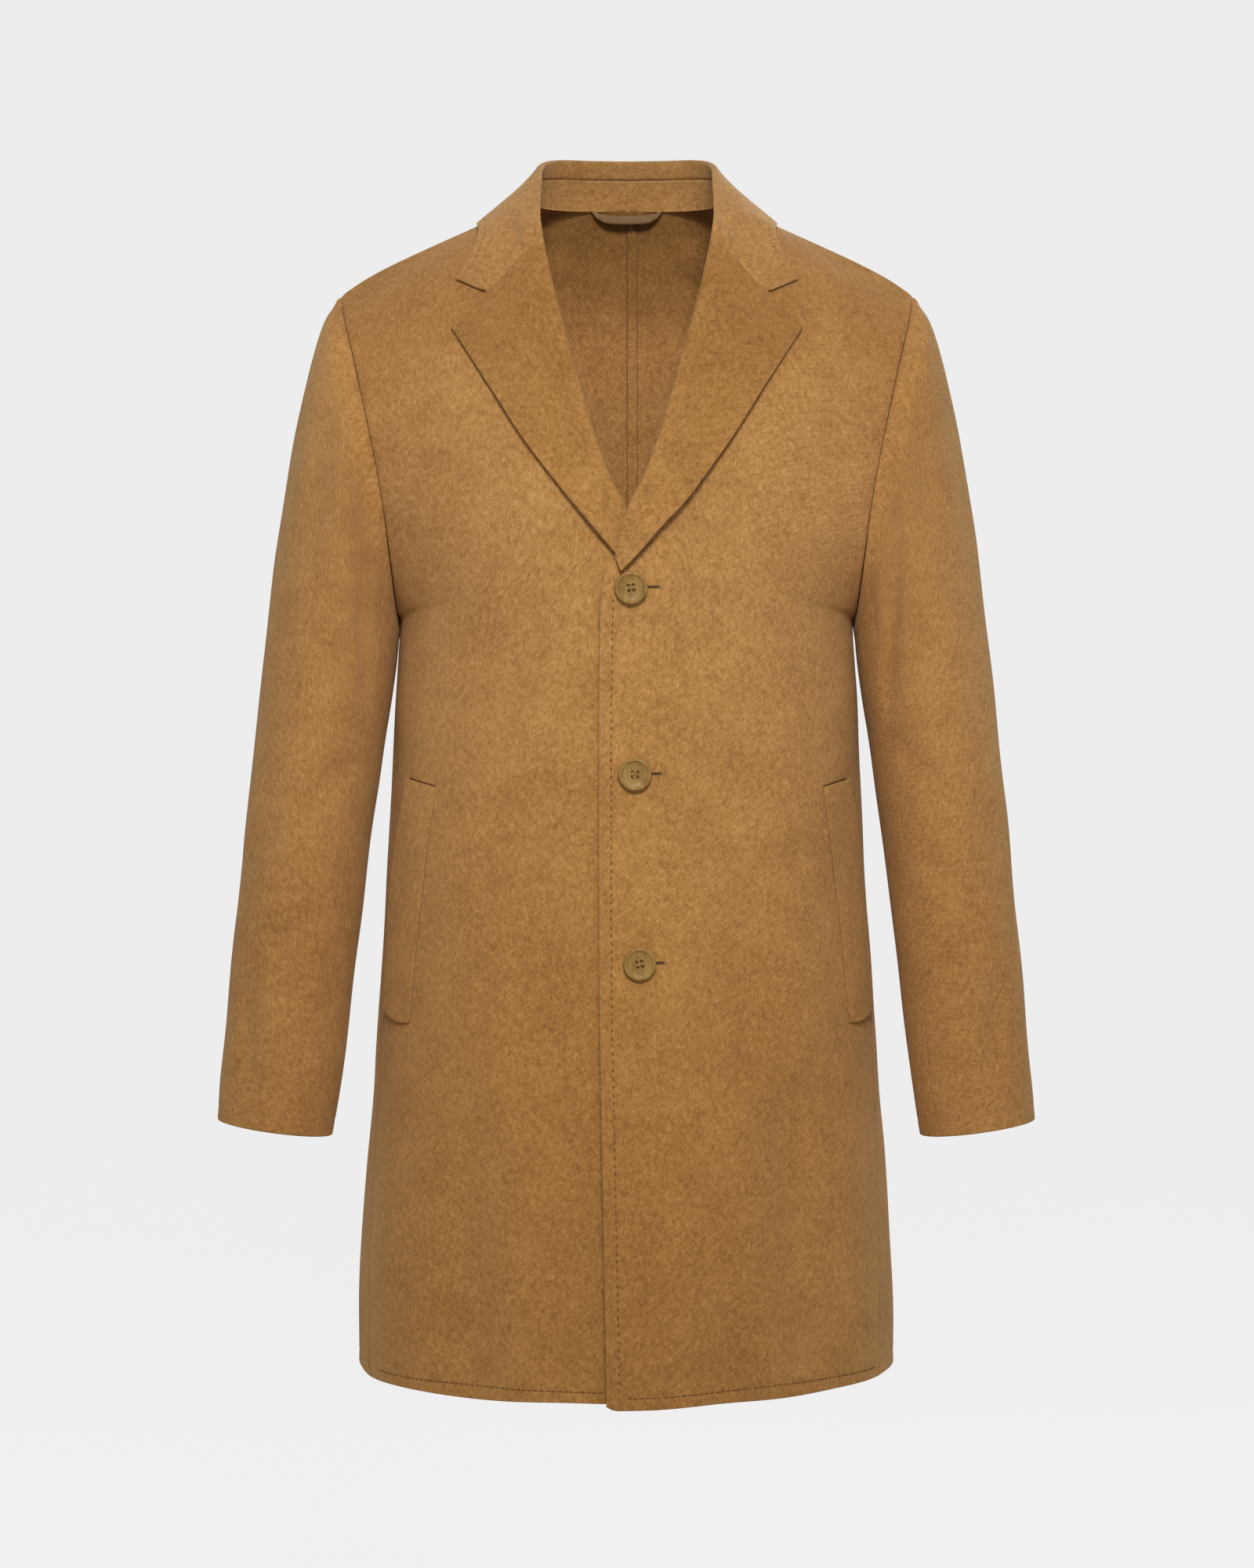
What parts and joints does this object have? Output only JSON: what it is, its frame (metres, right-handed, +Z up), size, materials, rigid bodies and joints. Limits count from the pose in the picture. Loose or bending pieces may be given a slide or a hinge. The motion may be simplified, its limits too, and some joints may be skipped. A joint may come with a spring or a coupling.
{
  "type": "wool overcoat",
  "caption": "Single-breasted knee-above wool overcoat in camel, filled out as worn and hollow, with notch lapels, slanted welt pockets and horn buttons.",
  "frame": {"origin": "midway between the two points where the shoulder seams meet the neck, where the coat is held on the wearer's shoulders", "axes": "+Z up, -Y is the front, +X is the wearer's left"},
  "size_m": [0.654, 0.32, 0.9826],
  "materials": {
    "coating": "brushed",
    "loop_tape": "woven",
    "horn": "polished"
  },
  "bodies": {
    "root": {"front_left": "coating", "front_right": "coating", "back_left": "coating", "back_right": "coating", "sleeve_top_left": "coating", "sleeve_top_right": "coating", "sleeve_under_left": "coating", "sleeve_under_right": "coating", "collar_fall": "coating", "collar_stand": "coating", "lapel_left": "coating", "lapel_right": "coating", "welt_left": "coating", "welt_right": "coating", "hanger_loop": "loop_tape", "button_1": "horn", "button_2": "horn", "button_3": "horn"}
  },
  "joints": []
}
